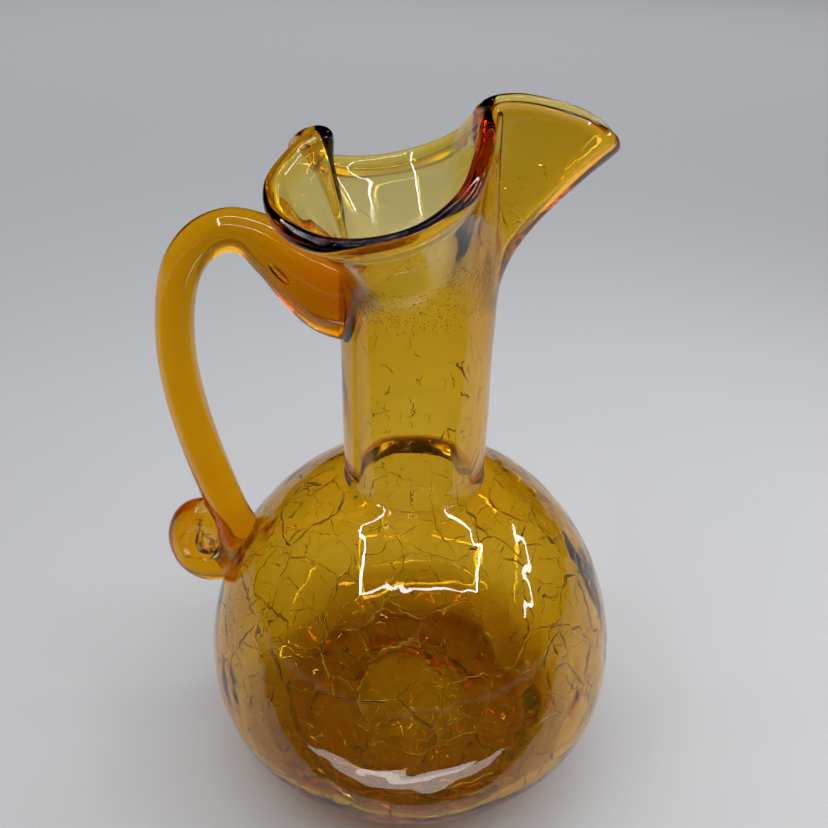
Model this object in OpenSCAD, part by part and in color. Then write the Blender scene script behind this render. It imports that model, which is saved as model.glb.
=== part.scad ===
// Small hand-blown crackle glass pitcher with a pinched mouth and an applied curled handle.
// The origin is the centre of the resting ring on the underside. +Z is up.
// The spout points along +X and the handle stands on the -X side.

/* [Body] */
// Widest diameter of the round body
body_w = 90; // [80:1:100]
// Height of the widest circle above the table
widest_z = 24; // [22:0.5:26]
// Height of the shoulder's elliptic arc, from the widest circle to its top
shoulder_h = 45.8; // [42:0.2:48]
// Depth of the elliptic arc below the widest circle, before the base cuts it off
belly_h = 31; // [29:0.5:34]
// Wall thickness of the body and neck
wall = 3; // [2.2:0.1:3.2]

/* [Base] */
// Diameter of the dimple under the base
dimple_w = 38; // [30:1:42]
// Depth of the dimple under the base
dimple_h = 3.5; // [1:0.5:4]
// Thickness of the glass in the middle of the base
base_t = 3.5; // [3:0.5:6]

/* [Neck] */
// Outer diameter of the neck
neck_w = 29; // [27:0.5:31]
// Wall thickness at the foot of the neck, where the glass stretched over the shoulder
waist_t = 2.5; // [2:0.1:2.8]
// Height at which the neck starts to open into the mouth
neck_top = 106; // [102:1:108]

/* [Mouth] */
// Wall thickness of the mouth's wide sides, which stretched thinner than the neck
lip_t = 1.6; // [1.4:0.1:2.2]
// Wall thickness of the spout
spout_t = 2.8; // [2.2:0.1:3]
// Diameter of the rounded bead along the rim
bead_w = 3; // [2.6:0.1:3.4]
// Extra width of each side of the mouth
mouth_spread = 0; // [-3:0.5:3]
// Extra length of the spout
spout_reach = 0; // [-4:0.5:4]

/* [Handle] */
// Thickness of the handle's rod
rod_w = 7.6; // [7:0.1:8.4]
// Thickness of the curled tail at the handle's foot
tail_w = 7.2; // [6.6:0.1:7.6]

/* [Hidden] */
$fn = 72;

glass = [0.78, 0.55, 0.06, 0.75];
handle_glass = [0.72, 0.45, 0.04, 0.85];

body_r = body_w / 2;
neck_r = neck_w / 2;
neck_mid_r = neck_r - wall / 2;
inner_r = body_r - wall;
inner_neck_r = neck_r - wall;
waist_r = neck_r - waist_t;
bead_r = bead_w / 2;
rod_r = rod_w / 2;
tail_r = tail_w / 2;

// The outside of the base turns under with this radius, a little inside the belly's own arc
foot_round = 4;
foot_inset = 0.4;
// Direction in which the foot's corner ends, and the height at which the belly's arc takes over
foot_angle = 40;
belly_start = 2.2;
// Exponent that squares the inside of the belly, so that the glass thickens towards the base
belly_square = 2.6;
// Sharpness of the blend between shoulder and neck, outside and inside
blend = 2.35;
inner_blend = 2;
// Angle step of the profile's curved stretches
arc_step = 5;
// Height and radius of the dome that the dimple pushes up inside the base
dome_h = 2.5;
dome_r = 20;
// The mouth is let into the top of the neck's wall by a root of this length
root_h = 2;
// Share of the wall's half thickness that the root takes
root_share = 0.7;
// Width of the hair-line step where the mouth's facets meet the turned neck
step_w = 0.05;

// ---- Profile of the turned part -------------------------------------------------

// Smooth join, of sharpness k, of a curve's radius e with the neck's radius n
function joined(e, n, k) = pow(pow(e, k) + pow(n, k), 1 / k);

// Radius of an arc that the smooth join with the radius n brings out to the radius w
function before_join(w, n, k) = pow(pow(w, k) - pow(n, k), 1 / k);

// Radius where the belly's arc would meet the table
foot_r = body_r * sqrt(1 - pow(widest_z / belly_h, 2));

// The dimple's arc, from the axis to the resting ring
dimple = [for (a = [0:15:90]) [dimple_w / 2 * sin(a), dimple_h * pow(cos(a), 2)]];

// Rounded corner between the resting ring and the belly
foot = [for (a = [-90:15:-foot_angle])
    [foot_r - foot_inset + foot_round * (cos(a) - cos(foot_angle)), foot_round * (1 + sin(a))]];

// Belly arc from just above the foot to the widest circle
belly_from = -asin((widest_z - belly_start) / belly_h);
belly = [for (a = [belly_from:-belly_from / 10:-1]) [body_r * cos(a), widest_z + belly_h * sin(a)]];

shoulder = [for (a = [0:arc_step:85])
    [joined(before_join(body_r, neck_r, blend) * cos(a), neck_r, blend),
     widest_z + shoulder_h * sin(a)]];

outer_line = concat(dimple, foot, belly, shoulder,
    [[neck_r, widest_z + shoulder_h + 1], [neck_r, neck_top]]);

// Inside of the body
inner_h = widest_z - dimple_h - base_t + dome_h;
inner_shoulder = [for (a = [85:-arc_step:0])
    [joined(before_join(inner_r, waist_r, inner_blend) * cos(a), waist_r, inner_blend),
     widest_z + (shoulder_h - wall) * sin(a)]];
inner_belly = [for (a = [arc_step:arc_step:90])
    let (r = inner_r * pow(cos(a), 2 / belly_square))
    [r, widest_z - inner_h * pow(sin(a), 2 / belly_square)
        + dome_h * pow(max(0, 1 - r / dome_r), 2)]];

inner_line = concat([[inner_neck_r, neck_top], [waist_r, widest_z + shoulder_h + 1]],
    inner_shoulder, inner_belly);

// ---- Splines ----------------------------------------------------------------------

// Point at t between b and c of the smooth curve through a, b, c and d
function between(a, b, c, d, t) =
    0.5 * ((2 * b) + (c - a) * t + (2 * a - 5 * b + 4 * c - d) * t * t
    + (3 * b - a - 3 * c + d) * t * t * t);

// Smooth closed curve through the rows of p, at u counted in rows
function ring_at(p, u) =
    let (n = len(p), i = floor(u), t = u - i)
    between(p[(i + n - 1) % n], p[i % n], p[(i + 1) % n], p[(i + 2) % n], t);

// Smooth open curve through the rows of p, at u counted in rows
function line_at(p, u) =
    let (n = len(p), i = min(floor(u), n - 2), t = u - i)
    between(p[max(i - 1, 0)], p[i], p[i + 1], p[min(i + 2, n - 1)], t);

// ---- Mouth ------------------------------------------------------------------------

// Half of the rim, from the pinch above the handle to the tip of the spout.
// Each row is the direction on the neck below it, then the rim's own x, y and z.
half_rim = [
    [180, -16.2, 0, 135.6],
    [171, -17.8, 2.6, 135.4],
    [161, -20.8, 7, 133.6],
    [148, -23, 13.6, 130.6],
    [134, -21, 20.2, 127.4],
    [119, -15.2, 24.6, 125.4],
    [103, -7.2, 26.2, 125.6],
    [86, 0.8, 25.2, 127.8],
    [68, 6.8, 20.4, 131.6],
    [50, 9.4, 13.2, 135.8],
    [34, 10.6, 6.6, 139.2],
    [23, 12.4, 3.6, 140.8],
    [14, 17.6, 4.2, 140.9],
    [7, 25.4, 4.8, 139.2],
    [3, 30, 3.2, 136.9]];
tip = [0, 31.6, 0, 135.2];

// Depth from the axis to the widest row, and where along X the spout begins and how long it is
side_reach = 26.2;
spout_from = 12;
spout_len = 19.6;
// Length along X over which the wall thickens towards the spout
spout_fade = 8;

// Adds the extra width and the extra spout to a row
function shaped(p) = [p[0],
    p[1] + spout_reach * pow(max(0, (p[1] - spout_from) / spout_len), 1.5),
    p[2] * (1 + mouth_spread / side_reach), p[3]];

last = len(half_rim) - 1;
rim = [for (i = [0:last]) shaped(half_rim[i])];
far_rim = [for (i = [last:-1:1]) [-rim[i][0], rim[i][1], -rim[i][2], rim[i][3]]];
full_rim = concat(rim, [shaped(tip)], far_rim);

// Facets round the mouth, up its wall and over its bead
columns = 80;
rows = 10;
cap_rows = 4;

// The mouth's wall first runs straight up for this share of its height. It then leans out:
// at the height share flare_at it has gone the share flare_out of the way to the rim.
throat_share = 0.4;
flare_out = 0.42;
flare_at = 0.65;
// The wall has reached the flare's thickness at this height share, and swells into the bead
// from this one
thin_at = 0.45;
bead_from = 0.86;

// Rim row at column share u from 0 to 1. Its direction is kept as a unit vector.
vector_rim = [for (p = full_rim) [cos(p[0]), sin(p[0]), p[1], p[2], p[3]]];
function rim_at(u) = ring_at(vector_rim, (u - floor(u)) * len(vector_rim));

// Middle surface of the mouth at column share u and height share v
function mouth_at(u, v) =
    let (
        q = rim_at(u),
        d = [q[0], q[1]] / norm([q[0], q[1]]),
        foot_p = [neck_mid_r * d[0], neck_mid_r * d[1], neck_top],
        top = [q[2], q[3], q[4]],
        up = top[2] - neck_top,
        low = foot_p + [0, 0, throat_share * up],
        high = foot_p + [flare_out * (top[0] - foot_p[0]), flare_out * (top[1] - foot_p[1]),
            flare_at * up],
        w = 1 - v)
    w * w * w * foot_p + 3 * w * w * v * low + 3 * w * v * v * high + v * v * v * top;

function unit(p) = p / norm(p);
small = 0.004;
function along_at(u, v) = unit(mouth_at(u, min(1, v + small)) - mouth_at(u, max(0, v - small)));
function around_at(u, v) = unit(mouth_at(u + small, v) - mouth_at(u - small + 1, v));
function out_at(u, v) = unit(cross(along_at(u, v), around_at(u, v)));

function eased(t) = let (s = max(0, min(1, t))) s * s * (3 - 2 * s);

// Wall thickness below the bead: thin at the wide sides and thicker at the spout
function flare_t(u) =
    lip_t + (spout_t - lip_t) * eased((rim_at(u)[2] - spout_from + spout_fade) / spout_fade);

// Half thickness of the glass, thinning up the flare and then growing into the rim's bead
function half_t(u, v) =
    wall / 2 - step_w * max(0, 1 - v * rows)
    - (wall - flare_t(u)) / 2 * eased(v / thin_at)
    + (bead_r - flare_t(u) / 2) * eased((v - bead_from) / (1 - bead_from));

// One closed section through the mouth's wall: up the outside, over the bead, down the inside
function mouth_section(u) =
    let (
        q = mouth_at(u, 0),
        o = out_at(u, 0),
        root = root_share * wall / 2,
        top = mouth_at(u, 1),
        n = out_at(u, 1),
        t = along_at(u, 1))
    concat(
        [q + root * o - [0, 0, root_h]],
        [for (j = [0:rows]) let (v = j / rows) mouth_at(u, v) + half_t(u, v) * out_at(u, v)],
        [for (j = [1:cap_rows]) let (a = 180 * j / (cap_rows + 1))
            top + bead_r * (cos(a) * n + sin(a) * t)],
        [for (j = [rows:-1:0]) let (v = j / rows) mouth_at(u, v) - half_t(u, v) * out_at(u, v)],
        [q - root * o - [0, 0, root_h]]);

// Solid from closed sections that run round in a closed loop
module looped_skin(sections) {
    n = len(sections);
    m = len(sections[0]);
    points = [for (s = sections) for (p = s) p];
    faces = [for (i = [0:n - 1]) for (j = [0:m - 1])
        let (a = i * m + j, b = i * m + (j + 1) % m, c = ((i + 1) % n) * m + (j + 1) % m,
            d = ((i + 1) % n) * m + j)
        each [[a, c, b], [a, d, c]]];
    polyhedron(points, faces);
}

// Solid from closed sections along an open line, closed flat at both ends
module capped_skin(sections) {
    n = len(sections);
    m = len(sections[0]);
    points = [for (s = sections) for (p = s) p];
    sides = [for (i = [0:n - 2]) for (j = [0:m - 1])
        let (a = i * m + j, b = i * m + (j + 1) % m, c = (i + 1) * m + (j + 1) % m, d = (i + 1) * m + j)
        each [[a, b, c], [a, c, d]]];
    first = [for (j = [m - 1:-1:0]) j];
    end = [for (j = [0:m - 1]) (n - 1) * m + j];
    polyhedron(points, concat(sides, [first], [end]));
}

module mouth() {
    looped_skin([for (i = [0:columns - 1]) mouth_section(i / columns)]);
}

// What the handle may not enter: the body and neck filled solid
module turned_core() {
    rotate_extrude() polygon(concat(outer_line, [[0, neck_top]]));
}

// The same for the lower part of the mouth, up to the share core_v of its height.
// Its lid stands lid_h above the neck, and its root is a little narrower than the neck.
core_v = 0.6;
lid_h = 30;
root_scale = 0.98;
module mouth_core() {
    shares = [for (j = [0:6]) core_v * j / 6];
    rings = [for (v = shares) [for (i = [0:columns - 1])
        let (u = i / columns) mouth_at(u, v) + half_t(u, v) * out_at(u, v)]];
    root = [for (p = rings[0]) [root_scale * p[0], root_scale * p[1], p[2] - root_h]];
    lid = [for (p = rings[len(shares) - 1]) [p[0], p[1], neck_top + lid_h]];
    capped_skin(concat([root], rings, [lid]));
}

module vessel() {
    color(glass)
    union() {
        rotate_extrude() polygon(concat(outer_line, inner_line));
        mouth();
    }
}

// ---- Handle -----------------------------------------------------------------------

// Middle line of the rod in the XZ plane, from the pad on the neck to the foot on the shoulder.
// Each row is x, z, then the section's half height and half width as shares of the rod's radius.
rod_line = [
    [-11, 107.6, 2.45, 1.7],
    [-15.5, 108.6, 2.32, 1.75],
    [-20.3, 111.6, 1.9, 1.6],
    [-25.3, 115.5, 1.43, 1.35],
    [-29.7, 118.5, 1.12, 1.14],
    [-34.2, 119.2, 1.03, 1.06],
    [-39, 117, 1, 1],
    [-42.8, 112.2, 0.97, 1],
    [-45, 105, 0.95, 1],
    [-46, 95, 0.97, 1],
    [-45.4, 85, 1, 1],
    [-43.7, 75, 1.02, 1.02],
    [-41.6, 66, 1.04, 1.06],
    [-39.4, 58, 1.04, 1.12],
    [-37.4, 51, 1.25, 1.35],
    [-35, 45, 1.3, 1.4]];

// The curled tail is a flattened ring beside the foot, closed over its own middle
curl_middle = [-45.7, 0, 50];
// Radius of the ring's middle line, and how far its two bends stand apart
curl_r = 3.9;
curl_rise = 4;
// Half width of the glass that fills the middle of the ring
curl_fill = 2.6;
// Glass smeared down the shoulder, where the tail was pressed on before it was curled
smear_middle = [-39, 0, 46.4];
smear_r = 4.9;

sides = 18;

// Elliptic sections of half size r along a line in the XZ plane
function swept(line, r, per_row) =
    [for (i = [0:(len(line) - 1) * per_row])
        let (
            u = i / per_row,
            p = line_at(line, u),
            step = line_at(line, min(u + 0.02, len(line) - 1)) - line_at(line, max(u - 0.02, 0)),
            t = unit([step[0], 0, step[1]]),
            n = [-t[2], 0, t[0]])
        [for (k = [0:sides - 1])
            let (a = 360 * k / sides)
            [p[0], 0, p[1]] + r * p[2] * cos(a) * n + [0, r * p[3] * sin(a), 0]]];

// One bend of the curl, standing up from its own centre
module curl_bend() {
    rotate([90, 0, 0]) rotate_extrude(angle = 180) translate([curl_r, 0]) circle(r = tail_r);
}

module curl() {
    translate(curl_middle) {
        translate([0, 0, curl_rise / 2]) curl_bend();
        translate([0, 0, -curl_rise / 2]) rotate([0, 180, 0]) curl_bend();
        for (side = [-1, 1])
            translate([side * curl_r, 0, 0]) cylinder(r = tail_r, h = curl_rise, center = true);
        for (end = [-1, 1])
            translate([0, 0, end * curl_rise / 2])
            rotate([90, 0, 0]) cylinder(r = curl_r, h = 2 * curl_fill, center = true);
    }
}

module handle() {
    color(handle_glass)
    difference() {
        union() {
            capped_skin(swept(rod_line, rod_r, 5));
            curl();
            translate(smear_middle) sphere(r = smear_r);
        }
        turned_core();
        mouth_core();
    }
}

vessel();
handle();
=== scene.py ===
import math

import bpy
import bmesh
import numpy as np
from mathutils import Matrix, Vector
from mathutils.kdtree import KDTree


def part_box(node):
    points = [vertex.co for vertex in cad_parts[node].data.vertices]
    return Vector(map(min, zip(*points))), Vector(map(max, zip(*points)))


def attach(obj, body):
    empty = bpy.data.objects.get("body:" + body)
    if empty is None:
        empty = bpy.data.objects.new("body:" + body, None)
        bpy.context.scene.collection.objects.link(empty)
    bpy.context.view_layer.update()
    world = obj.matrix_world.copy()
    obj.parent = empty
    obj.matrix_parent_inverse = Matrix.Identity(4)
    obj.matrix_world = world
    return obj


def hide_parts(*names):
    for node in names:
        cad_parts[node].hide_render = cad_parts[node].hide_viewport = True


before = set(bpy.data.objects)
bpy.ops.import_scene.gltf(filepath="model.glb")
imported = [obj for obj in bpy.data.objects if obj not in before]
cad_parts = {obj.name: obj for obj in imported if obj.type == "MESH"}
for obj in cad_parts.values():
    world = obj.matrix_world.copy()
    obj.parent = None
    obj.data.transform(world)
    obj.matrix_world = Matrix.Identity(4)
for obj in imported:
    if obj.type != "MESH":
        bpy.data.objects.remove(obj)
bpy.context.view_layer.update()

rng = np.random.default_rng(7)
MM = 0.001

# ---- Driving sizes, in millimetres ------------------------------------------------

low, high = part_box("vessel")
body_r = (high.y - low.y) / 2 / MM
neck_r = 14.5
widest_z = 24.0
shoulder_h = 45.8
belly_h = 31.0
neck_top = 106.0
# Wall of the body, the foot of the neck, the mouth's sides and the spout, and the base
wall = 3.0
waist_t = 2.5
lip_t = 1.6
spout_t = 2.8
base_t = 3.5
# Sharpness of the blend between shoulder and neck, outside and inside
blend = 2.35
inner_blend = 2.0
# The belly's arc starts at this height, above the rounded foot
belly_start = 2.0
foot_round = 4.0
foot_inset = 0.5
ring_r = 19.5
# Dimple under the base, and the dome that it pushes up inside
dimple_r = 19.0
dimple_h = 3.5
dome_r = 20.0
dome_h = 2.5
# Exponent that squares the inside of the belly, so that the glass thickens towards the base
belly_square = 2.6
# Shares of the rise and of the spread at which the mouth's flare is steered, and the heights,
# as shares of the rise, at which its wall is thin and its bead begins
throat_share = 0.4
flare_out = 0.42
flare_at = 0.65
thin_at = 0.45
bead_from = 0.86
bead_r = 1.5
rod_r = 3.8
tail_r = 3.7

# ---- Splines ---------------------------------------------------------------------


def spline(points, u, closed):
    """Points of the smooth curve through the rows of points, at u counted in rows."""
    p = np.asarray(points, float)
    n = len(p)
    i = np.floor(u).astype(int)
    if not closed:
        i = np.clip(i, 0, n - 2)
    t = (u - i)[:, None]

    def row(k):
        return p[k % n] if closed else p[np.clip(k, 0, n - 1)]

    a, b, c, d = row(i - 1), row(i), row(i + 1), row(i + 2)
    return 0.5 * (2 * b + (c - a) * t + (2 * a - 5 * b + 4 * c - d) * t**2
                  + (3 * b - a - 3 * c + d) * t**3)


def unit(v):
    return v / np.maximum(np.linalg.norm(v, axis=-1, keepdims=True), 1e-9)


# ---- The mouth's rim -------------------------------------------------------------

# Half of the rim, from the pinch above the handle to the tip of the spout:
# the direction on the neck below, then the rim's own x, y and z.
HALF_RIM = [
    (180, -16.2, 0, 135.6),
    (171, -17.8, 2.6, 135.4),
    (161, -20.8, 7, 133.6),
    (148, -23, 13.6, 130.6),
    (134, -21, 20.2, 127.4),
    (119, -15.2, 24.6, 125.4),
    (103, -7.2, 26.2, 125.6),
    (86, 0.8, 25.2, 127.8),
    (68, 6.8, 20.4, 131.6),
    (50, 9.4, 13.2, 135.8),
    (34, 10.6, 6.6, 139.2),
    (23, 12.4, 3.6, 140.8),
    (14, 17.6, 4.2, 140.9),
    (7, 25.4, 4.8, 139.2),
    (3, 30, 3.2, 136.9),
]
TIP = (0, 31.6, 0, 135.2)


def rim_rows():
    far = [(-a, x, -y, z) for a, x, y, z in HALF_RIM[:0:-1]]
    rows = np.array(HALF_RIM + [TIP] + far, float)
    a = np.radians(rows[:, 0])
    return np.c_[np.cos(a), np.sin(a), rows[:, 1:]]


def even_rim(count):
    """Rim rows at even steps of its length, as many as there are columns."""
    rows = rim_rows()
    u = np.linspace(0, len(rows), 4000, endpoint=False)
    p = spline(rows, u, True)
    step = np.linalg.norm(np.diff(p[:, 2:], axis=0, append=p[:1, 2:]), axis=1)
    length = np.r_[0, np.cumsum(step)]
    at = np.interp(np.arange(count) / count * length[-1], length, np.r_[u, len(rows)])
    return spline(rows, at, True)


# ---- The blown vessel ------------------------------------------------------------

COLUMNS = 288
MOUTH_ROWS = 34
BEAD_ROWS = 9
# Where along X the spout's thicker wall begins and over what length it grows, and the bead's
# growth as a share of the mouth's rise
SPOUT_FROM, SPOUT_FADE = 4, 8
BEAD_GROWTH = 0.14
mouth_columns = even_rim(COLUMNS)
neck_angle = np.unwrap(np.arctan2(mouth_columns[:, 1], mouth_columns[:, 0]))
even_angle = neck_angle[0] - np.arange(COLUMNS) / COLUMNS * 2 * math.pi


def joined(e, n, k):
    """Smooth join, of sharpness k, of a curve's radius e with the neck's radius n."""
    return (np.maximum(e, 0)**k + n**k)**(1 / k)


def before_join(w, n, k):
    return (w**k - n**k)**(1 / k)


def eased(t):
    s = np.clip(t, 0, 1)
    return s * s * (3 - 2 * s)


def arc(a0, a1, n):
    return np.radians(np.linspace(a0, a1, n))


def outer_profile():
    """Radius and height down the outside, from the top of the neck to the dimple's middle."""
    neck_z = np.linspace(neck_top, widest_z + shoulder_h + 1, 26)
    a = arc(86, 0, 66)
    wide = before_join(body_r, neck_r, blend)
    shoulder = np.c_[joined(wide * np.cos(a), neck_r, blend), widest_z + shoulder_h * np.sin(a)]
    a = arc(-2, -math.degrees(math.asin((widest_z - belly_start) / belly_h)), 26)
    belly = np.c_[body_r * np.cos(a), widest_z + belly_h * np.sin(a)]
    end = belly[-1]
    a = arc(-50, -90, 7)[1:]
    foot = np.c_[end[0] + foot_round * (np.cos(a) - math.cos(a[0])) - foot_inset, np.zeros(6)]
    foot[:, 1] = np.linspace(end[1], 0, len(foot) + 1)[1:]**1.4 / end[1]**0.4
    ring = np.c_[np.linspace(foot[-1, 0] - 1, ring_r, 4), np.zeros(4)]
    a = arc(90, 4, 20)
    dimple = np.c_[dimple_r * np.sin(a), dimple_h * np.cos(a)**2]
    return np.r_[np.c_[np.full(26, neck_r), neck_z], shoulder, belly, foot, ring, dimple]


def inner_profile():
    """Radius and height up the inside, from the middle of the floor to the top of the neck."""
    inner_r, inner_neck, waist = body_r - wall, neck_r - wall, neck_r - waist_t
    depth = widest_z - dimple_h - base_t + dome_h
    floor_r = np.linspace(1.2, 30, 22)
    a = np.arccos((floor_r / inner_r)**(belly_square / 2))
    floor = np.c_[floor_r, widest_z - depth * np.sin(a)**(2 / belly_square)]
    a = np.linspace(a[-1], 0.05, 16)[1:]
    side = np.c_[inner_r * np.cos(a)**(2 / belly_square),
                 widest_z - depth * np.sin(a)**(2 / belly_square)]
    belly = np.r_[floor, side]
    belly[:, 1] += dome_h * np.maximum(0, 1 - belly[:, 0] / dome_r)**2
    a = arc(0, 86, 30)
    wide = before_join(inner_r, waist, inner_blend)
    shoulder = np.c_[joined(wide * np.cos(a), waist, inner_blend),
                     widest_z + (shoulder_h - wall) * np.sin(a)]
    neck_z = np.linspace(widest_z + shoulder_h + 1, neck_top, 14)
    return np.r_[belly, shoulder, np.c_[np.linspace(waist, inner_neck, 14), neck_z]]


def profile_normals(profile):
    """Unit normals of a profile that runs down the outside, pointing into the glass."""
    t = unit(np.gradient(profile, axis=0))
    return np.c_[t[:, 1], -t[:, 0]]


def wobble(p, seed, reach, amount):
    """Unevenness of hand-blown glass: a sum of waves about reach long and amount high."""
    r = np.random.default_rng(seed)
    out = np.zeros(len(p))
    for _ in range(7):
        d = unit(r.normal(size=3))
        out += np.sin(p @ d * 2 * math.pi / (reach * r.uniform(0.6, 1.6)) + r.uniform(0, 6.3))
    return amount * out / 3


def outer_sink(p):
    """How far the outside lies inside its even profile."""
    return 0.14 + wobble(p, 11, 34, 0.08) + wobble(p, 12, 11, 0.018)


def scar_sink(p):
    """How far the punty's scar lies above the dimple's even profile: a rough patch and its rim."""
    r = np.hypot(p[:, 0], p[:, 1])
    rough = 0.28 + wobble(p, 21, 5, 0.2)
    patch_r, patch_fade, rim_r, rim_w, rim_h = 17, 6, 8.5, 1.3, 0.35
    return rough * eased((patch_r - r) / patch_fade) + rim_h * np.exp(-((r - rim_r) / rim_w)**2)


def under_base(r, z):
    return (r < 30) & (z < 4)


def mouth_surface(v):
    """Middle surface of the mouth for one height share v: points, one per column."""
    q = mouth_columns
    d = unit(q[:, :2])
    foot = np.c_[(neck_r - wall / 2) * d, np.full(COLUMNS, neck_top)]
    top = q[:, 2:]
    up = top[:, 2:] - neck_top
    low_p = foot + np.c_[np.zeros((COLUMNS, 2)), throat_share * up]
    high_p = foot + np.c_[flare_out * (top[:, :2] - foot[:, :2]), flare_at * up]
    w = 1 - v
    return w**3 * foot + 3 * w * w * v * low_p + 3 * w * v * v * high_p + v**3 * top


def mouth_frames(v):
    p = mouth_surface(v)
    e = 0.004
    along = unit(mouth_surface(min(1, v + e)) - mouth_surface(max(0, v - e)))
    around = unit(np.roll(p, -1, 0) - np.roll(p, 1, 0))
    return p, along, unit(np.cross(along, around))


def half_thickness(v):
    """Half of the mouth's wall: thinning up the flare, then growing into the rim's bead."""
    spout = eased((mouth_columns[:, 2] - SPOUT_FROM) / SPOUT_FADE)
    flare = lip_t + (spout_t - lip_t) * spout
    return (wall / 2 - (wall - flare) / 2 * eased(v / thin_at)
            + (bead_r - flare / 2) * eased((v - bead_from) / BEAD_GROWTH))[:, None]


def column_angles(z):
    """The columns' directions ease from the mouth's to even ones down the neck."""
    s = eased((neck_top - z) / 34)
    return neck_angle * (1 - s) + even_angle * s


# ---- Crackle ---------------------------------------------------------------------

# Cells of the crackle, and the share of their edges that stayed whole
CELLS = 310
WHOLE = 0.08
# Heights on the unit sphere between which the body is crackled
CRACKED_FROM, CRACKED_TO = -0.93, 0.94
# Depth and half width of the surface groove along a crack, and the depth from which one has it
GROOVE, GROOVE_W, GROOVED = 0.06, 1.1, 0.5
# Each slit starts this far below the groove
COVER = 0.03
# Share of cracks that lean far over, and the shortest crack
LEANING = 0.3
SHORTEST = 0.4
NECK_CRACKS = 74
MOUTH_CRACKS, SPOUT_CRACKS = 46, 28
SEEDS = 1500


class Skin:
    """The outside of the body, reached from its middle in any direction."""

    def __init__(self):
        self.profile = outer_profile()
        self.normal = profile_normals(self.profile)
        self.polar = np.arctan2(self.profile[:, 0], self.profile[:, 1] - widest_z)

    def at(self, directions):
        """Points on the outside and the normals into the glass there."""
        d = unit(directions)
        polar = np.arccos(np.clip(d[:, 2], -1, 1))
        r = np.interp(polar, self.polar, self.profile[:, 0])
        z = np.interp(polar, self.polar, self.profile[:, 1])
        n_r = np.interp(polar, self.polar, self.normal[:, 0])
        n_z = np.interp(polar, self.polar, self.normal[:, 1])
        flat = unit(d[:, :2])
        return np.c_[flat * r[:, None], z], unit(np.c_[flat * n_r[:, None], n_z])


def cell_edges(count, jitter):
    """Edges of irregular cells all over a sphere, as pairs of corner directions."""
    i = np.arange(count) + 0.5
    z = 1 - 2 * i / count
    turn = i * math.pi * (1 + math.sqrt(5))
    seeds = np.c_[np.sqrt(1 - z * z) * np.cos(turn), np.sqrt(1 - z * z) * np.sin(turn), z]
    seeds = unit(seeds + rng.normal(scale=jitter, size=seeds.shape))
    bm = bmesh.new()
    for p in seeds:
        bm.verts.new(p)
    bmesh.ops.convex_hull(bm, input=bm.verts)
    bm.normal_update()
    bm.faces.index_update()
    edges = []
    for edge in bm.edges:
        if len(edge.link_faces) == 2:
            a, b = (np.array(face.normal) for face in edge.link_faces)
            edges.append((a, b) if a @ b > 0 else (a, -b))
    bm.free()
    return edges


def jagged(a, b, step, rough):
    """Directions from a to b along an uneven path."""
    length = np.linalg.norm(b - a) * body_r
    n = max(3, int(length / step) + 1)
    t = np.linspace(0, 1, n + 1)
    side = unit(np.cross(a, b))
    bend = np.zeros(n + 1)
    for k in (1, 2, 3, 5):
        bend += rng.normal() / k**1.1 * np.sin(math.pi * k * t)
    bend[1:-1] += rng.normal(scale=0.5, size=n - 1)
    bend = bend * rough * length / body_r
    return unit(a[None] * (1 - t)[:, None] + b[None] * t[:, None] + side[None] * bend[:, None])


def crack_paths(skin):
    """Crack lines on the outside: lists of points, normals and depth."""
    paths = []

    def add(directions, depth):
        if np.linalg.norm(directions[-1] - directions[0]) * body_r > SHORTEST:
            p, n = skin.at(directions)
            paths.append((p, n, depth))

    for a, b in cell_edges(CELLS, jitter=0.085):
        m = unit(a + b)
        if m[2] > CRACKED_TO or m[2] < CRACKED_FROM or rng.random() < WHOLE:
            continue
        under_handle = m[0] < -0.8 and abs(m[1]) < 0.2 and 0.25 < m[2] < 0.75
        if under_handle:
            continue
        path = jagged(a, b, step=1.0, rough=0.045)
        add(path, rng.uniform(0.45, 1.05))
        for _ in range(rng.integers(0, 3 if m[2] > 0.2 else 2)):
            i = rng.integers(1, len(path) - 1)
            go = unit(path[i + 1] - path[i])
            out = unit(np.cross(path[i], go)) * rng.choice([-1, 1])
            turn = rng.uniform(-0.9, 0.9)
            go = unit(out * math.cos(turn) + go * math.sin(turn))
            reach = rng.uniform(1.5, 6.5) / body_r
            branch = jagged(path[i], unit(path[i] + go * reach), step=0.7, rough=0.08)
            add(branch, rng.uniform(0.25, 0.7))
    return paths


def neck_paths():
    """Short, mostly upright cracks round the neck, more of them low down."""
    paths = []
    for _ in range(NECK_CRACKS):
        a = rng.uniform(0, 2 * math.pi)
        z = widest_z + shoulder_h + 2 + 30 * rng.random()**1.7
        n = int(rng.integers(4, 12))
        walk = np.cumsum(np.c_[rng.normal(0, 0.45, n), rng.normal(0.55, 0.35, n)], axis=0)
        turn = rng.uniform(-1.2, 1.2)
        x = walk[:, 0] * math.cos(turn) + walk[:, 1] * math.sin(turn)
        y = walk[:, 1] * math.cos(turn) - walk[:, 0] * math.sin(turn)
        angle, height = a + x / neck_r, z + y
        keep = (height > widest_z + shoulder_h + 1) & (height < neck_top - 2)
        angle, height = angle[keep], height[keep]
        if len(angle) < 3:
            continue
        out = np.c_[np.cos(angle), np.sin(angle)]
        under_pad = out[0, 0] < -0.75 and height.max() > 88
        if under_pad:
            continue
        paths.append((np.c_[out * neck_r, height], np.c_[-out, np.zeros(len(out))],
                      rng.uniform(0.3, 0.8)))
    return paths


def mouth_outside():
    """Points on the outside of the mouth and normals into the glass, by row and column."""
    points, normals = [], []
    for j in range(MOUTH_ROWS + 1):
        p, _, out = mouth_frames(j / MOUTH_ROWS)
        points.append(p + half_thickness(j / MOUTH_ROWS) * out)
        normals.append(-out)
    return np.array(points), np.array(normals)


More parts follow.
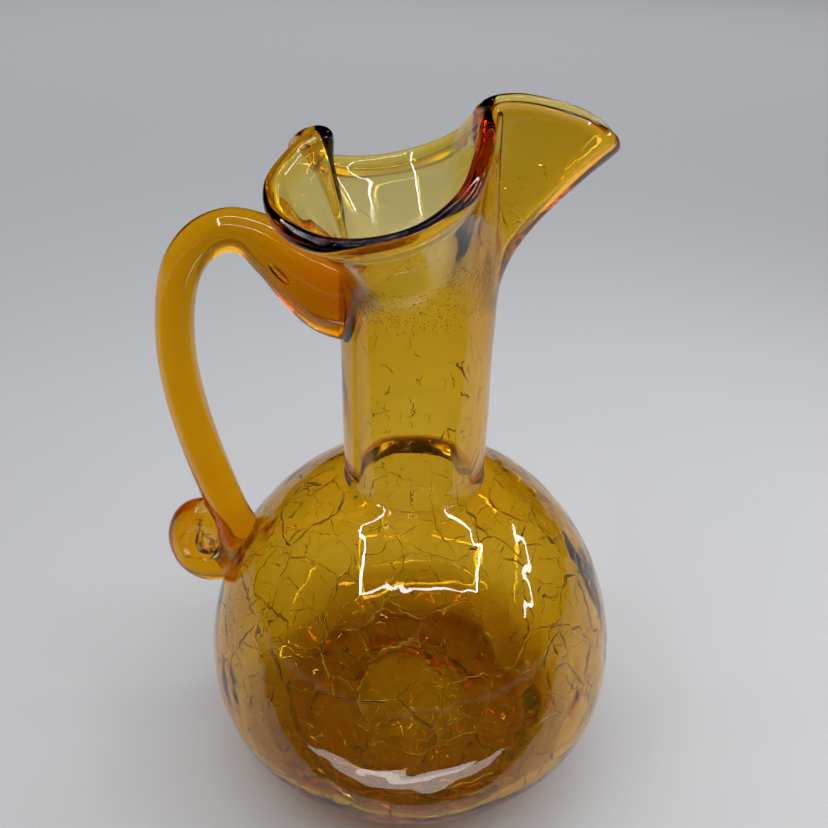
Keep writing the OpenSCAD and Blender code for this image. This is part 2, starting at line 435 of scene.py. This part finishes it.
def mouth_paths():
    """A few short cracks in the mouth, most of them in the spout."""
    points, normals = mouth_outside()
    spout = np.flatnonzero(mouth_columns[:, 2] > 9)
    paths = []
    for i in range(MOUTH_CRACKS):
        column = rng.choice(spout) if i < SPOUT_CRACKS else rng.integers(0, COLUMNS)
        n = int(rng.integers(4, 9))
        rise = rng.normal(0, 0.9)
        c = (column + np.cumsum(rng.normal(1.6, 0.5, n))).astype(int) % COLUMNS
        r = 4 + 22 * rng.random() + np.cumsum(rng.normal(rise, 0.4, n))
        r = np.clip(np.round(r), 3, 28).astype(int)
        moved = np.r_[True, (np.diff(r) != 0) | (np.diff(c) != 0)]
        r, c = r[moved], c[moved]
        paths.append((points[r, c], normals[r, c], rng.uniform(0.25, 0.6)))
    return paths


def seeds():
    """Tiny twenty-sided bubbles in a band at the foot of the flare, their faces turned inward."""
    t = (1 + math.sqrt(5)) / 2
    ball = unit(np.array([(-1, t, 0), (1, t, 0), (-1, -t, 0), (1, -t, 0),
                          (0, -1, t), (0, 1, t), (0, -1, -t), (0, 1, -t),
                          (t, 0, -1), (t, 0, 1), (-t, 0, -1), (-t, 0, 1)], float))
    sides = [(0, 11, 5), (0, 5, 1), (0, 1, 7), (0, 7, 10), (0, 10, 11), (1, 5, 9), (5, 11, 4),
             (11, 10, 2), (10, 7, 6), (7, 1, 8), (3, 9, 4), (3, 4, 2), (3, 2, 6), (3, 6, 8),
             (3, 8, 9), (4, 9, 5), (2, 4, 11), (6, 2, 10), (8, 6, 7), (9, 8, 1)]
    outside, normals = mouth_outside()
    points, faces = [], []
    for i in range(SEEDS):
        row, column = int(rng.triangular(0, 4, 12)), rng.integers(0, COLUMNS)
        share = rng.random()
        at = (1 - share) * outside[row, column] + share * outside[row + 1, column]
        at = at + normals[row, column] * rng.uniform(0.28, 0.6)
        size = rng.uniform(0.06, 0.15) * np.array([1, 1, rng.uniform(1, 1.5)])
        points.append(ball * size + at)
        faces += [tuple(12 * i + k for k in side[::-1]) for side in sides]
    return np.vstack(points), faces


def slit(points, normals, top, depth, half_gap, tilt):
    """A thin air gap in the glass below a line, closed, its faces turned towards the gap."""
    n = len(points)
    t = unit(np.gradient(points, axis=0))
    side = unit(np.cross(t, normals))
    share = np.sin(np.linspace(0.12, math.pi - 0.12, n))**0.6
    deep = (depth * share)[:, None]
    gap = (half_gap * share)[:, None]
    lean = (tilt + 0.25 * np.sin(np.linspace(0, 5, n) + rng.uniform(0, 6)))[:, None] * deep
    upper = points + normals * top[:, None]
    middle = upper + normals * deep / 2 + side * lean / 2
    lower = upper + normals * deep + side * lean
    rings = np.stack([upper, middle + side * gap, lower, middle - side * gap], axis=1)
    faces = [(0, 3, 2, 1)]
    for i in range(n - 1):
        for k in range(4):
            j = (k + 1) % 4
            faces.append((i * 4 + k, i * 4 + j, i * 4 + 4 + j, i * 4 + 4 + k))
    e = (n - 1) * 4
    faces.append((e, e + 1, e + 2, e + 3))
    return rings.reshape(-1, 3), faces


def cracks(paths):
    """All slits in one list of points and faces."""
    points, faces = [], []
    start = 0
    for p, n, depth in paths:
        under = under_base(np.hypot(p[:, 0], p[:, 1]), p[:, 2])
        top = np.where(under, scar_sink(p), outer_sink(p)) + GROOVE + COVER
        tilt = rng.uniform(-0.5, 0.5)
        if rng.random() < LEANING:
            tilt, depth = 3 * tilt, 0.55 * depth
        q, f = slit(p, n, top, depth, rng.uniform(0.015, 0.04), tilt)
        points.append(q)
        faces += [tuple(start + k for k in face) for face in f]
        start += len(q)
    return np.vstack(points), faces


def crack_distance(paths):
    """Finds how far any point lies from the nearest crack that is deep enough for a groove."""
    dots = []
    for p, _, depth in paths:
        if depth > GROOVED:
            n = 3 * (len(p) - 1) + 1
            dots.append(spline(p, np.linspace(0, len(p) - 1, n), False))
    dots = np.vstack(dots)
    tree = KDTree(len(dots))
    for i, p in enumerate(dots):
        tree.insert(p, i)
    tree.balance()
    return lambda points: np.array([tree.find(p)[2] for p in points])


def revolve_outside(distance):
    """Rings up the outside, sunk by the slow waves and by a groove along each crack."""
    profile = outer_profile()
    normal = profile_normals(profile)
    rings = []
    for (r, z), (n_r, n_z) in zip(profile[::-1], normal[::-1]):
        a = column_angles(z)
        out = np.c_[np.cos(a), np.sin(a)]
        ring = np.c_[out * r, np.full(COLUMNS, z)]
        inward = np.c_[out * n_r, np.full(COLUMNS, n_z)]
        fade = eased((neck_top - z) / 14)
        if under_base(r, z):
            inward = np.array([[0, 0, 1]])
            sink = scar_sink(ring)
        else:
            groove = GROOVE * np.exp(-(distance(ring) / GROOVE_W)**2)
            sink = (outer_sink(ring) * eased(z / 1.5) + groove) * fade
        rings.append(ring + inward * np.reshape(sink, (-1, 1)))
    return rings


def revolve_inside():
    """Rings down the inside. Its waves are shorter and deeper than the outside's."""
    profile = inner_profile()
    rings = []
    for r, z in profile[::-1]:
        a = column_angles(z)
        out = np.c_[np.cos(a), np.sin(a), np.zeros(COLUMNS)]
        ring = np.c_[out[:, :2] * r, np.full(COLUMNS, z)]
        fade = eased((neck_top - z) / 20) * eased(r / 14)
        ring = ring + ((wobble(ring, 3, 26, 0.26) + wobble(ring, 4, 9, 0.05)) * fade)[:, None] * out
        # The floor is swirled and lumpy
        if z < widest_z:
            swirl = np.sin(2 * math.pi * (r + 2.4 * np.sin(a + 0.7) + 1.6 * np.sin(2 * a + 2)) / 6)
            lift = (0.55 * swirl + wobble(ring, 5, 8, 0.5) + wobble(ring, 6, 4, 0.16))
            ring[:, 2] += lift * eased((36 - r) / 10) * eased(r / 3)
        rings.append(ring)
    return rings


def vessel_rings(distance):
    rings = revolve_outside(distance)
    points, _ = mouth_outside()
    rings += list(points[1:])
    p, along, out = mouth_frames(1.0)
    for j in range(1, BEAD_ROWS):
        a = math.pi * j / BEAD_ROWS
        rings.append(p + bead_r * (math.cos(a) * out + math.sin(a) * along))
    for j in range(MOUTH_ROWS, 0, -1):
        v = j / MOUTH_ROWS
        p, _, out = mouth_frames(v)
        uneven = wobble(p, 8, 14, 0.09) * eased((1 - v) / 0.2) * eased(j / 8)
        rings.append(p - (half_thickness(v) + uneven[:, None]) * out)
    rings += revolve_inside()
    return rings


def mesh_object(name, points, faces):
    mesh = bpy.data.meshes.new(name)
    mesh.from_pydata([tuple(p) for p in np.asarray(points) * MM], [], faces)
    mesh.validate()
    obj = bpy.data.objects.new(name, mesh)
    bpy.context.scene.collection.objects.link(obj)
    for poly in mesh.polygons:
        poly.use_smooth = True
    return obj


def face_outward(obj):
    bm = bmesh.new()
    bm.from_mesh(obj.data)
    bmesh.ops.recalc_face_normals(bm, faces=bm.faces)
    if bm.calc_volume(signed=True) < 0:
        bmesh.ops.reverse_faces(bm, faces=bm.faces)
    bm.to_mesh(obj.data)
    bm.free()


def merge(obj, other):
    """Adds the faces of other to obj as they are turned, and removes other."""
    bm = bmesh.new()
    bm.from_mesh(obj.data)
    bm.from_mesh(other.data)
    bm.to_mesh(obj.data)
    bm.free()
    bpy.data.objects.remove(other)


def make_vessel():
    skin = Skin()
    body = crack_paths(skin)
    paths = body + neck_paths() + mouth_paths()
    rings = vessel_rings(crack_distance(body))
    n, m = len(rings), COLUMNS
    dimple_top = rings[0].mean(axis=0)
    floor_top = rings[-1].mean(axis=0)
    points = np.vstack(rings + [dimple_top, floor_top])
    faces = []
    for i in range(n - 1):
        for j in range(m):
            k = (j + 1) % m
            faces.append((i * m + j, i * m + k, (i + 1) * m + k, (i + 1) * m + j))
    for j in range(m):
        k = (j + 1) % m
        faces.append((n * m, k, j))
        faces.append((n * m + 1, (n - 1) * m + j, (n - 1) * m + k))
    obj = mesh_object("blown_vessel", points, faces)
    face_outward(obj)
    gaps = mesh_object("gaps", *cracks(paths))
    merge(obj, gaps)
    merge(obj, mesh_object("seeds", *seeds()))
    return obj


# ---- The applied handle ----------------------------------------------------------

# Middle line of the rod in the XZ plane: x, z, half height and half width in rod radii
ROD = [
    (-11, 107.6, 2.45, 1.7), (-15.5, 108.6, 2.32, 1.75), (-20.3, 111.6, 1.9, 1.6),
    (-25.3, 115.5, 1.43, 1.35), (-29.7, 118.5, 1.12, 1.14), (-34.2, 119.2, 1.03, 1.06),
    (-39, 117, 1, 1), (-42.8, 112.2, 0.97, 1), (-45, 105, 0.95, 1), (-46, 95, 0.97, 1),
    (-45.4, 85, 1, 1), (-43.7, 75, 1.02, 1.02), (-41.6, 66, 1.04, 1.06),
    (-39.4, 58, 1.04, 1.12), (-37.4, 51, 1.25, 1.35), (-35, 45, 1.3, 1.4),
]
TAIL = [
    (-35.5, 50, 1.05, 1.3), (-38.8, 46.6, 1.05, 1.25), (-41.6, 43.6, 0.98, 1.15),
    (-45.4, 42.9, 0.95, 1.08), (-48.7, 45.6, 0.95, 1.05), (-49.7, 50.4, 0.95, 1.02),
    (-48.2, 55, 0.93, 1), (-45, 56.6, 0.9, 0.98), (-42.8, 54.2, 0.85, 0.92),
    (-43.6, 51.2, 0.8, 0.86), (-45.6, 50.4, 0.6, 0.7),
]

curl_x, curl_z = -45.7, 50.0
# Half sizes of the glass that closes the eye of the curl
FILL = (3.6, 2.7, 4.4)
# Trapped folds of the curl: radius, first and last direction, width across, and near edge
FOLDS = [
    (4.3, 95, 165, 1.6, -2.5),
    (4.2, -75, 15, 3.4, -2.6),
    (4.1, 205, 262, 1.5, -2.5),
    (2.0, -60, 60, 1.8, -1.6),
]
SHARDS = 16
# Middle, direction and half sizes of the bubble in the pad
BUBBLE = ((-24.4, -4.4, 113.0), (0.7, -0.1, -0.7), 2.6, 0.75)
# A loose island of fewer faces than this is a scrap left by the cut
SCRAP = 12


def sweep(line, radius, per_row, sides, name):
    u = np.linspace(0, len(line) - 1, (len(line) - 1) * per_row + 1)
    p = spline(line, u, False)
    t = unit(np.gradient(p[:, :2], axis=0))
    points = []
    for q, s in zip(p, t):
        n = np.array([-s[1], 0, s[0]])
        for k in range(sides):
            a = 2 * math.pi * k / sides
            points.append(np.array([q[0], 0, q[1]]) + radius * q[2] * math.cos(a) * n
                          + np.array([0, radius * q[3] * math.sin(a), 0]))
    rings = len(p)
    faces = [tuple(range(sides))[::-1], tuple((rings - 1) * sides + k for k in range(sides))]
    for i in range(rings - 1):
        for k in range(sides):
            j = (k + 1) % sides
            faces.append((i * sides + k, i * sides + j, (i + 1) * sides + j, (i + 1) * sides + k))
    obj = mesh_object(name, points, faces)
    face_outward(obj)
    return obj


def apply_modifiers(obj):
    deps = bpy.context.evaluated_depsgraph_get()
    mesh = bpy.data.meshes.new_from_object(obj.evaluated_get(deps))
    old = obj.data
    obj.modifiers.clear()
    obj.data = mesh
    bpy.data.meshes.remove(old)


def drop_slivers(obj):
    """Closes up the hair-thin faces that a cut leaves, and deletes loose scraps."""
    bm = bmesh.new()
    bm.from_mesh(obj.data)
    bmesh.ops.triangulate(bm, faces=bm.faces)
    bmesh.ops.dissolve_degenerate(bm, dist=0.02 * MM, edges=bm.edges)
    bmesh.ops.remove_doubles(bm, verts=bm.verts, dist=0.02 * MM)
    bmesh.ops.triangulate(bm, faces=bm.faces)
    unseen = set(bm.faces)
    while unseen:
        island, reached = [], [unseen.pop()]
        while reached:
            face = reached.pop()
            island.append(face)
            for edge in face.edges:
                if len(edge.link_faces) == 2:
                    for other in edge.link_faces:
                        if other in unseen:
                            unseen.remove(other)
                            reached.append(other)
        if len(island) < SCRAP:
            bmesh.ops.delete(bm, geom=island, context="FACES")
    bm.to_mesh(obj.data)
    bm.free()


def core_solid():
    """The vessel filled solid and shrunk a little, which the handle is cut back to."""
    inset = 0.7
    m = 180
    points = []
    rings = [(r - inset, z) for r, z in outer_profile() if r > 20 or z > 30][::-1]
    for j in range(1, 20):
        rings.append((neck_r - inset, neck_top + j))
    for r, z in rings:
        for k in range(m):
            a = 2 * math.pi * k / m
            points.append((r * math.cos(a), r * math.sin(a), z))
    faces = [tuple(range(m))[::-1], tuple((len(rings) - 1) * m + k for k in range(m))]
    for i in range(len(rings) - 1):
        for k in range(m):
            j = (k + 1) % m
            faces.append((i * m + k, i * m + j, (i + 1) * m + j, (i + 1) * m + k))
    obj = mesh_object("core", points, faces)
    face_outward(obj)
    return obj


def rounded(name, middle, radii):
    """An ellipsoid."""
    obj = mesh_object(name, [], [])
    bm = bmesh.new()
    bmesh.ops.create_uvsphere(bm, u_segments=32, v_segments=20, radius=MM)
    for v in bm.verts:
        v.co = Vector([(v.co[i] * radii[i] + middle[i] * MM) for i in range(3)])
    bm.to_mesh(obj.data)
    bm.free()
    return obj


def bubble(middle, along, long_r, short_r):
    """A long closed bubble, its faces turned towards its inside."""
    along = unit(np.array(along, float))
    side = unit(np.cross(along, (0, 1, 0)))
    n, m = 14, 16
    points = []
    for i in range(n):
        a = math.pi * (i + 0.5) / n
        for k in range(m):
            b = 2 * math.pi * k / m
            off = short_r * math.sin(a) * (math.cos(b) * side + math.sin(b) * np.array([0, 1, 0]))
            points.append(np.array(middle) + long_r * math.cos(a) * along + off)
    faces = [tuple(range(m)), tuple((n - 1) * m + k for k in range(m))[::-1]]
    for i in range(n - 1):
        for k in range(m):
            j = (k + 1) % m
            faces.append((i * m + k, i * m + m + k, i * m + m + j, i * m + j))
    obj = mesh_object("bubble", points, faces)
    face_outward(obj)
    bm = bmesh.new()
    bm.from_mesh(obj.data)
    bmesh.ops.reverse_faces(bm, faces=bm.faces)
    bm.to_mesh(obj.data)
    bm.free()
    return obj


def folds():
    """Air trapped between the turns of the curled tail: thin curved gaps across it."""
    points, faces = [], []
    start = 0
    for radius, first, last, depth, y in FOLDS:
        n = int(abs(last - first) / 14) + 4
        a = np.radians(np.linspace(first, last, n))
        r = radius * (1 + 0.1 * np.sin(2 * a + 1))
        p = np.c_[curl_x + r * np.cos(a), np.full(n, y) + 0.35 * np.sin(3 * a),
                  curl_z + 1.15 * r * np.sin(a)]
        normal = unit(np.c_[0.25 * np.cos(a), np.ones(n), 0.25 * np.sin(a)])
        q, f = slit(p, normal, np.zeros(n), depth, half_gap=0.08, tilt=0.25)
        points.append(q)
        faces += [tuple(start + k for k in face) for face in f]
        start += len(q)
    for _ in range(SHARDS):
        middle = np.array([curl_x + rng.normal(0.9, 1.1), rng.uniform(-2.4, 0.5),
                           curl_z + rng.normal(-1, 1.4)])
        along = unit(np.array([rng.normal(0.4, 0.5), rng.normal(0, 0.3), rng.normal(0.9, 0.5)]))
        t = np.linspace(-1, 1, 5)[:, None]
        p = middle + along * t * rng.uniform(0.7, 1.7) + np.array([[0.3, 0, 0.1]]) * t**2
        normal = unit(np.cross(along, rng.normal(size=3)))[None].repeat(5, axis=0)
        q, f = slit(p, normal, np.zeros(5), rng.uniform(0.5, 1.3), half_gap=0.05, tilt=0.2)
        points.append(q)
        faces += [tuple(start + k for k in face) for face in f]
        start += len(q)
    return mesh_object("folds", np.vstack(points), faces)


def make_handle():
    rod = sweep(ROD, rod_r, per_row=12, sides=40, name="applied_handle")
    tail = sweep(TAIL, tail_r, per_row=10, sides=32, name="tail")
    merge(rod, tail)
    merge(rod, rounded("fill", (curl_x, 0, curl_z), FILL))
    remesh = rod.modifiers.new("fuse", "REMESH")
    remesh.mode = "VOXEL"
    remesh.voxel_size = 0.32 * MM
    remesh.use_smooth_shade = True
    smooth = rod.modifiers.new("smooth", "SMOOTH")
    smooth.factor = 0.5
    smooth.iterations = 8
    apply_modifiers(rod)
    core = core_solid()
    cut = rod.modifiers.new("cut", "BOOLEAN")
    cut.operation = "DIFFERENCE"
    cut.object = core
    cut.solver = "EXACT"
    apply_modifiers(rod)
    bpy.data.objects.remove(core)
    drop_slivers(rod)
    merge(rod, bubble(*BUBBLE))
    merge(rod, folds())
    for poly in rod.data.polygons:
        poly.use_smooth = True
    return rod


# ---- Materials -------------------------------------------------------------------


def amber(name, density, tint):
    """Clear glass, coloured by the light it absorbs inside and faintly by its surface."""
    mat = bpy.data.materials.new(name)
    mat.use_nodes = True
    nodes, links = mat.node_tree.nodes, mat.node_tree.links
    nodes.clear()
    out = nodes.new("ShaderNodeOutputMaterial")
    glass = nodes.new("ShaderNodeBsdfPrincipled")
    glass.inputs["Transmission Weight"].default_value = 1.0
    glass.inputs["Roughness"].default_value = 0.0
    glass.inputs["IOR"].default_value = 1.5
    glass.inputs["Base Color"].default_value = (1, 0.97, 0.88, 1)
    links.new(glass.outputs[0], out.inputs["Surface"])
    volume = nodes.new("ShaderNodeVolumeAbsorption")
    volume.inputs["Color"].default_value = tint
    volume.inputs["Density"].default_value = density
    links.new(volume.outputs[0], out.inputs["Volume"])
    return mat, nodes, links, glass


def vessel_glass():
    mat, nodes, links, glass = amber("amber_crackle_glass", density=640, tint=(0.9531, 0.8188, 0.0, 1))
    coords = nodes.new("ShaderNodeTexCoord")
    slow = nodes.new("ShaderNodeTexNoise")
    slow.inputs["Scale"].default_value = 90
    slow.inputs["Detail"].default_value = 2
    bump = nodes.new("ShaderNodeBump")
    bump.inputs["Strength"].default_value = 0.25
    bump.inputs["Distance"].default_value = 0.4 * MM
    links.new(coords.outputs["Object"], slow.inputs["Vector"])
    links.new(slow.outputs[0], bump.inputs["Height"])
    stipple = nodes.new("ShaderNodeTexNoise")
    stipple.inputs["Scale"].default_value = 1900
    stipple.inputs["Detail"].default_value = 3
    links.new(coords.outputs["Object"], stipple.inputs["Vector"])
    split = nodes.new("ShaderNodeSeparateXYZ")
    links.new(coords.outputs["Object"], split.inputs[0])
    # The grain lies in a band under the flare, by height as a share of ramp_top
    ramp_top = 150 * MM
    band = nodes.new("ShaderNodeValToRGB")
    band.color_ramp.elements[0].position = 0.700
    band.color_ramp.elements[0].color = (0, 0, 0, 1)
    band.color_ramp.elements[1].position = 0.725
    band.color_ramp.elements[1].color = (1, 1, 1, 1)
    for at, level in ((0.765, 1), (0.80, 0)):
        element = band.color_ramp.elements.new(at)
        element.color = (level, level, level, 1)
    height = nodes.new("ShaderNodeMath")
    height.operation = "DIVIDE"
    height.inputs[1].default_value = ramp_top
    links.new(split.outputs["Z"], height.inputs[0])
    links.new(height.outputs[0], band.inputs[0])
    rough = nodes.new("ShaderNodeMath")
    rough.operation = "MULTIPLY"
    links.new(stipple.outputs[0], rough.inputs[0])
    links.new(band.outputs[0], rough.inputs[1])
    fine = nodes.new("ShaderNodeBump")
    fine.inputs["Strength"].default_value = 0.6
    fine.inputs["Distance"].default_value = 0.13 * MM
    links.new(rough.outputs[0], fine.inputs["Height"])
    links.new(bump.outputs[0], fine.inputs["Normal"])
    links.new(fine.outputs[0], glass.inputs["Normal"])
    return mat


def handle_glass():
    mat, nodes, links, glass = amber("amber_handle_glass", density=700, tint=(0.9671, 0.825, 0.0, 1))
    coords = nodes.new("ShaderNodeTexCoord")
    slow = nodes.new("ShaderNodeTexNoise")
    slow.inputs["Scale"].default_value = 60
    bump = nodes.new("ShaderNodeBump")
    bump.inputs["Strength"].default_value = 0.15
    bump.inputs["Distance"].default_value = 0.3 * MM
    links.new(coords.outputs["Object"], slow.inputs["Vector"])
    links.new(slow.outputs[0], bump.inputs["Height"])
    links.new(bump.outputs[0], glass.inputs["Normal"])
    return mat


# ---- Stage -----------------------------------------------------------------------


def plain(name, color, roughness=0.9):
    mat = bpy.data.materials.new(name)
    mat.use_nodes = True
    shader = mat.node_tree.nodes["Principled BSDF"]
    shader.inputs["Base Color"].default_value = (*color, 1)
    shader.inputs["Roughness"].default_value = roughness
    return mat


def make_floor():
    half = 3.0
    mesh = bpy.data.meshes.new("floor")
    mesh.from_pydata([(-half, -half, 0), (half, -half, 0), (half, half, 0), (-half, half, 0)], [],
                     [(0, 1, 2, 3)])
    floor = bpy.data.objects.new("floor", mesh)
    bpy.context.scene.collection.objects.link(floor)
    mesh.materials.append(plain("floor", (0.55, 0.555, 0.57)))
    floor.location.z = -0.0002


def make_flag():
    """A black card below the camera, seen only in the glass, that keeps the front clear."""
    mesh = bpy.data.meshes.new("flag")
    x, near, far, z = 0.45, -0.056, -0.7, 0.004
    mesh.from_pydata([(-x, far, z), (x, far, z), (x, near, z), (-x, near, z)], [], [(0, 1, 2, 3)])
    flag = bpy.data.objects.new("flag", mesh)
    bpy.context.scene.collection.objects.link(flag)
    mesh.materials.append(plain("flag", (0.012, 0.01, 0.01)))
    flag.visible_camera = False
    flag.visible_diffuse = False
    flag.visible_transmission = False
    flag.visible_shadow = False


def strip_light(name, a, b, width, power, shape="RECTANGLE", only_glints=False):
    """A thin bar of light from a to b, facing the object. only_glints keeps it to reflections."""
    a, b = Vector(a) * MM, Vector(b) * MM
    lamp = bpy.data.lights.new(name, "AREA")
    lamp.shape = shape
    lamp.size = (b - a).length
    lamp.size_y = width * MM
    lamp.energy = power
    obj = bpy.data.objects.new(name, lamp)
    middle = (a + b) / 2
    aim = Vector((0, 0, 60)) * MM
    x = (b - a).normalized()
    z = (middle - aim).normalized()
    z = (z - x * z.dot(x)).normalized()
    y = z.cross(x)
    obj.matrix_world = Matrix.Translation(middle) @ Matrix((x, y, z)).transposed().to_4x4()
    bpy.context.scene.collection.objects.link(obj)
    if only_glints:
        obj.visible_diffuse = False
        obj.visible_transmission = False


def soft_panel(name, at, width, depth, power):
    """A wide soft light facing straight down, not reflected in the glass."""
    lamp = bpy.data.lights.new(name, "AREA")
    lamp.shape = "RECTANGLE"
    lamp.size, lamp.size_y = width * MM, depth * MM
    lamp.energy = power
    obj = bpy.data.objects.new(name, lamp)
    obj.location = Vector(at) * MM
    bpy.context.scene.collection.objects.link(obj)
    obj.visible_glossy = False


def make_lights():
    """A frame lamp above the front, bars at the side and back, low bars in front and a panel."""
    corners = [(-182, -205, 345), (244, -185, 345), (201, 23, 345), (-157, -5, 345)]
    for i in range(4):
        strip_light(f"frame_{i}", corners[i], corners[(i + 1) % 4], width=8, power=0.2)
    strip_light("right_bar", (285, 126, 245), (344, -118, 156), width=12, power=0.16)
    strip_light("back_bar", (107, 246, 292), (208, 179, 289), width=9, power=0.08)
    strip_light("low_bar", (-52, -68, 6), (52, -68, 6), width=9, power=0.0065,
                shape="ELLIPSE", only_glints=True)
    strip_light("low_bar_short", (-22, -70, 8), (32, -70, 11), width=5, power=0.003,
                shape="ELLIPSE", only_glints=True)
    soft_panel("far_panel", (0, 1600, 1000), width=3400, depth=3000, power=15)


def make_world():
    """A plain room, paler higher up and behind the object, and not reflected in the glass."""
    world = bpy.data.worlds.new("world")
    bpy.context.scene.world = world
    world.cycles_visibility.glossy = False
    world.use_nodes = True
    nodes, links = world.node_tree.nodes, world.node_tree.links
    back = nodes["Background"]
    coords = nodes.new("ShaderNodeTexCoord")
    split = nodes.new("ShaderNodeSeparateXYZ")
    ramp = nodes.new("ShaderNodeValToRGB")
    ramp.color_ramp.elements[0].position = 0.06
    ramp.color_ramp.elements[0].color = (0.34, 0.32, 0.31, 1)
    ramp.color_ramp.elements[1].position = 0.42
    ramp.color_ramp.elements[1].color = (0.78, 0.79, 0.82, 1)
    links.new(coords.outputs["Generated"], split.inputs[0])
    links.new(split.outputs["Z"], ramp.inputs[0])
    side = nodes.new("ShaderNodeMapRange")
    side.inputs["From Min"].default_value = -0.2
    side.inputs["From Max"].default_value = 0.5
    side.inputs["To Min"].default_value = 0.5
    side.inputs["To Max"].default_value = 1.05
    links.new(split.outputs["Y"], side.inputs["Value"])
    dim = nodes.new("ShaderNodeVectorMath")
    dim.operation = "SCALE"
    links.new(ramp.outputs[0], dim.inputs[0])
    links.new(side.outputs[0], dim.inputs["Scale"])
    links.new(dim.outputs[0], back.inputs[0])
    back.inputs[1].default_value = 0.78


def make_camera():
    """A phone's main lens, held just above the pitcher and close to it."""
    away, height = 142.4, 165.5
    yaw, down, roll = math.radians(-0.11), math.radians(30.24), math.radians(1.27)
    forward = Vector((math.sin(yaw) * math.cos(down), math.cos(yaw) * math.cos(down), -math.sin(down)))
    right = Vector((math.cos(yaw), -math.sin(yaw), 0))
    up = right.cross(forward)
    turned = math.cos(roll) * right + math.sin(roll) * up
    upright = -math.sin(roll) * right + math.cos(roll) * up
    data = bpy.data.cameras.new("camera")
    data.lens = 36
    data.sensor_width = 36
    data.clip_start = 0.01
    camera = bpy.data.objects.new("camera", data)
    camera.matrix_world = (Matrix.Translation(Vector((0, -away, height)) * MM)
                           @ Matrix((turned, upright, -forward)).transposed().to_4x4())
    bpy.context.scene.collection.objects.link(camera)
    bpy.context.scene.camera = camera


# ---- Put together ----------------------------------------------------------------

vessel = make_vessel()
vessel.data.materials.append(vessel_glass())
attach(vessel, "root")
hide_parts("vessel")

handle = make_handle()
handle.data.materials.clear()
handle.data.materials.append(handle_glass())
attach(handle, "root")
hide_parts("handle")

make_floor()
make_flag()
make_lights()
make_world()
make_camera()
bpy.context.scene.view_settings.view_transform = "Standard"

print("faces", len(vessel.data.polygons), len(handle.data.polygons))
